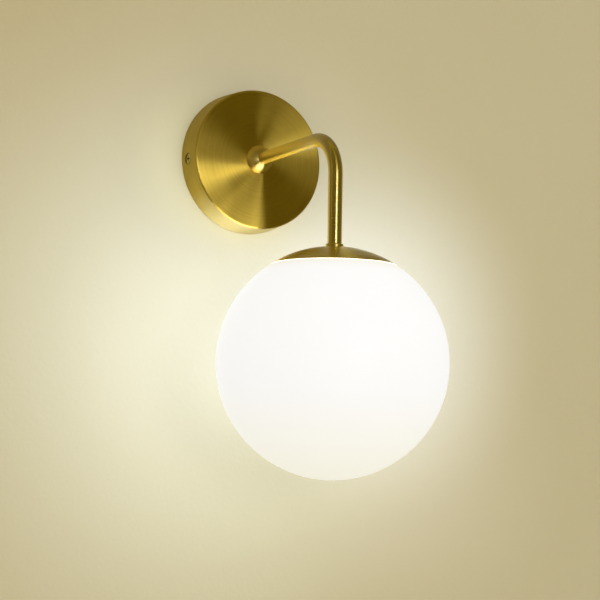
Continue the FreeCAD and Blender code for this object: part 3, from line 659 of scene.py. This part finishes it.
# Painted glow of the globe on the cap's rim
cap_painted_glow_tint = colour(250, 236, 200)
tube_tint = colour(222, 196, 78)
tube_shade = colour(208, 182, 70)
brass_tint = colour(221, 191, 56)
brass_shade = colour(207, 177, 47)
polish_tint = colour(232, 211, 130)
polish_shade = colour(226, 203, 116)
# Painted shade in the screws' slots and below the tops of their heads
painted_slot_shade = colour(52, 38, 18)
zinc_tint = colour(196, 198, 202)
zinc_shade = colour(176, 180, 190)
spring_tint = colour(178, 180, 184)
spring_shade = colour(158, 160, 166)
wire_tint = colour(214, 215, 216)
wire_shade = colour(196, 197, 200)
block_tint = colour(228, 227, 220)
block_shade = colour(218, 216, 206)
bush_tint = colour(38, 38, 40)
bush_shade = colour(26, 26, 28)
ceramic_tint = colour(232, 228, 216)
ceramic_shade = colour(222, 216, 202)
base_tint = colour(234, 232, 226)
base_shade = colour(226, 223, 214)
cover_tint = colour(236, 234, 226)
cover_shade = colour(228, 226, 216)
cover_light = colour(255, 250, 232)
phosphor_tint = colour(240, 205, 80)
phosphor_shade = colour(228, 186, 60)
phosphor_light = colour(255, 236, 170)
globe_light = colour(255, 255, 255)
foot_light = colour(255, 252, 236)
cap_light = colour(250, 246, 232)
glass_tint = colour(128, 128, 130)
glass_shade = colour(122, 122, 124)
board_tint = colour(226, 226, 220)
track_tint = colour(238, 236, 226)
paint_tint = colour(203, 194, 162)
paint_shade = colour(199, 190, 156)
black = colour(0, 0, 0)
sheath_shade = colour(20, 18, 16)
brown_tint = colour(112, 66, 40)
blue_tint = colour(48, 96, 176)
green_tint = colour(60, 132, 52)
yellow_tint = colour(226, 200, 48)
room_tint = colour(250, 246, 234)
mirrored_room_tint = colour(255, 230, 92)       # the room as metal sees it

cup_finish = cup_brass("cup_brass", cup_tint, cup_shade, cup_painted_glow_tint, painted_recess_shade)
cap_finish = cap_brass("cap_brass", cap_tint, cap_shade, cap_painted_glow_tint)
tube_finish = tube_brass("tube_brass", tube_tint, tube_shade)
collar_finish = polished_brass("collar_brass", wall_centre, TOWARDS_ROOM, polish_tint, polish_shade,
                               collar_roughness)
ring_finish = polished_brass("ring_brass", globe_centre, UPWARDS, polish_tint, polish_shade, ring_roughness)
screw_finish = screw_brass("screw_brass", polish_tint, brass_shade, painted_slot_shade, screw_high.x)
nut_finish = plain_brass("nut_brass", polish_tint, brass_tint, nut_roughness)
zinc_finish = steel("zinc_steel", zinc_tint, zinc_shade, zinc_roughness, sheet_stretch)
spring_finish = steel("spring_steel", spring_tint, spring_shade, spring_roughness, spring_stretch)
wire_finish = steel("tinned_wire", wire_tint, wire_shade, wire_roughness, wire_stretch)
block_finish = moulded("white_plastic", block_tint, block_shade, block_roughness, subsurface=0.1)
bush_finish = moulded("black_plastic", bush_tint, bush_shade, bush_roughness)
ceramic_finish = moulded("holder_ceramic", ceramic_tint, ceramic_shade, ceramic_roughness, ceramic_grain,
                         ceramic_groove)
base_finish = moulded("bulb_plastic", base_tint, base_shade, base_roughness)
cover_finish = glowing("bulb_cover", cover_tint, cover_shade, cover_light, cover_glow, cover_grain)
led_finish = glowing("led_phosphor", phosphor_tint, phosphor_shade, phosphor_light, phosphor_glow,
                     phosphor_grain)

finishes = {
    "wall_bracket": zinc_finish,
    "backplate": cup_finish,
    "side_screws": screw_finish,
    "earth_screw": nut_finish,
    "earth_washer": zinc_finish,
    "terminal_block": block_finish,
    "terminal_sleeves": nut_finish,
    "terminal_screws": zinc_finish,
    "block_screw": zinc_finish,
    "arm_tube": tube_finish,
    "arm_collar": collar_finish,
    "plate_washer": zinc_finish,
    "earth_tag": nut_finish,
    "upper_lock_washer": zinc_finish,
    "upper_nut": nut_finish,
    "upper_bush": bush_finish,
    "lower_bush": bush_finish,
    "foot_ring": ring_finish,
    "shade_cap": cap_finish,
    "globe_spring": spring_finish,
    "holder_strap": zinc_finish,
    "lower_lock_washer": zinc_finish,
    "lower_nut": nut_finish,
    "lampholder": ceramic_finish,
    "lampholder_contacts": spring_finish,
    "holder_screws": zinc_finish,
    "globe": opal_glass("opal_glass"),
    "bulb_base": base_finish,
    "bulb_pins": wire_finish,
    "bulb_cover": cover_finish,
    "bulb_board": circuit_board("led_board"),
    "bulb_leds": led_finish,
    "live_lead": sheath("brown_sheath", brown_tint),
    "neutral_lead": sheath("blue_sheath", blue_tint),
    "earth_lead": sheath("green_sheath", green_tint, stripe=yellow_tint),
    "lead_ferrules": wire_finish,
}


def dress(node, material):
    """Gives a node of the frame its finish in place of the plain one."""
    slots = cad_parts[node].material_slots
    for slot in slots:
        slot.material = material


for node, material in finishes.items():
    dress(node, material)


def add_mesh(name, points, faces, material):
    """A plain object of the stage."""
    mesh = bpy.data.meshes.new(name)
    mesh.from_pydata(points, [], faces)
    mesh.materials.append(material)
    mesh.update()
    made = bpy.data.objects.new(name, mesh)
    bpy.context.scene.collection.objects.link(made)
    return made


def make_wall(name, inner, outer, material):
    """A flat square round a round opening, facing the room."""
    points = []
    faces = []
    for step in range(stage_steps):
        angle = step * math.tau / stage_steps
        square = outer / max(abs(math.cos(angle)), abs(math.sin(angle)))
        for radius in (inner, square):
            points.append((radius * math.cos(angle), wall_gap, radius * math.sin(angle)))
    for step in range(stage_steps):
        here = 2 * step
        after = 2 * ((step + 1) % stage_steps)
        faces.append((here, here + 1, after + 1, after))
    return add_mesh(name, points, faces, material)


def make_floor(name, reach, drop, material):
    """A square floor below the lamp, which metal doesn't see."""
    points = [(-reach, -reach, -drop), (reach, -reach, -drop), (reach, reach, -drop), (-reach, reach, -drop)]
    made = add_mesh(name, points, [(0, 1, 2, 3)], material)
    made.visible_glossy = False
    return made


wall_paint = plaster("wall_paint")
wall = make_wall("wall", cup_radius * opening_share, wall_reach, wall_paint)
floor = make_floor("floor", floor_reach, floor_drop, wall_paint)


def aim(made, place, target):
    """Puts a lamp at a place and turns it to a target."""
    made.location = place
    made.rotation_mode = "QUATERNION"
    made.rotation_quaternion = (Vector(target) - Vector(place)).to_track_quat("-Z", "Y")


def soft_lamp(name, direction, distance, width, height, radiance):
    """A softbox that looks at the lamp from a direction; its radiance is 1 where it shows as white."""
    light = bpy.data.lights.new(name, "AREA")
    light.shape = "RECTANGLE"
    light.size = width
    light.size_y = height
    light.energy = radiance * math.pi * width * height
    made = bpy.data.objects.new(name, light)
    made.visible_camera = False
    bpy.context.scene.collection.objects.link(made)
    target = Vector((0, globe_centre.y, globe_centre.z / 2))
    aim(made, target + Vector(direction).normalized() * distance, target)
    return made


soft_lamp("front_softbox", front_direction, lamp_distance, box_side, box_side, front_radiance)
soft_lamp("tall_softbox", tall_direction, lamp_distance, box_side, tall_box_height, tall_radiance)
soft_lamp("high_softbox", high_direction, lamp_distance, high_box_width, box_side, high_radiance)


def make_world():
    """Pale all round to the camera; metal sees a dim room in front of the wall."""
    world = bpy.data.worlds.new("studio")
    bpy.context.scene.world = world
    world.use_nodes = True
    tree = world.node_tree
    background = tree.nodes["Background"]
    tinted = tree.nodes.new("ShaderNodeMix")
    tinted.data_type = "RGBA"
    tinted.inputs[COLOUR_FIRST].default_value = room_tint
    tinted.inputs[COLOUR_SECOND].default_value = mirrored_room_tint
    tree.links.new(tinted.outputs[COLOUR_MADE], background.inputs["Color"])
    path = tree.nodes.new("ShaderNodeLightPath")
    place = tree.nodes.new("ShaderNodeTexCoord")
    parts = tree.nodes.new("ShaderNodeSeparateXYZ")
    tree.links.new(place.outputs["Generated"], parts.inputs[0])
    front = tree.nodes.new("ShaderNodeMapRange")
    tree.links.new(parts.outputs[1], front.inputs[0])
    world_range = (room_side_end, wall_side_start, world_room_side, world_wall_side)
    for socket, number in zip(list(front.inputs)[1:5], world_range):
        socket.default_value = number
    tree.links.new(path.outputs["Is Glossy Ray"], tinted.inputs[0])
    seen = tree.nodes.new("ShaderNodeMix")
    tree.links.new(path.outputs["Is Glossy Ray"], seen.inputs[0])
    seen.inputs[2].default_value = world_cast
    tree.links.new(front.outputs[0], seen.inputs[3])
    shown = tree.nodes.new("ShaderNodeMix")
    tree.links.new(path.outputs["Is Camera Ray"], shown.inputs[0])
    tree.links.new(seen.outputs[0], shown.inputs[2])
    shown.inputs[3].default_value = world_shown
    tree.links.new(shown.outputs[0], background.inputs["Strength"])


make_world()


def make_camera():
    """The photograph's camera, from its yaw, pitch and roll."""
    forward = Vector((math.sin(camera_yaw) * math.cos(camera_pitch),
                      math.cos(camera_yaw) * math.cos(camera_pitch), math.sin(camera_pitch)))
    level_right = Vector((math.cos(camera_yaw), -math.sin(camera_yaw), 0))
    level_up = level_right.cross(forward)
    right = level_right * math.cos(camera_roll) + level_up * math.sin(camera_roll)
    up = right.cross(forward)
    data = bpy.data.cameras.new("camera")
    data.lens = camera_lens
    data.sensor_width = camera_sensor
    made = bpy.data.objects.new("camera", data)
    turned = Matrix((right, up, -forward)).transposed().to_4x4()
    made.matrix_world = Matrix.Translation(camera_place) @ turned
    bpy.context.scene.collection.objects.link(made)
    bpy.context.scene.camera = made


make_camera()
bpy.context.scene.view_settings.view_transform = "Standard"
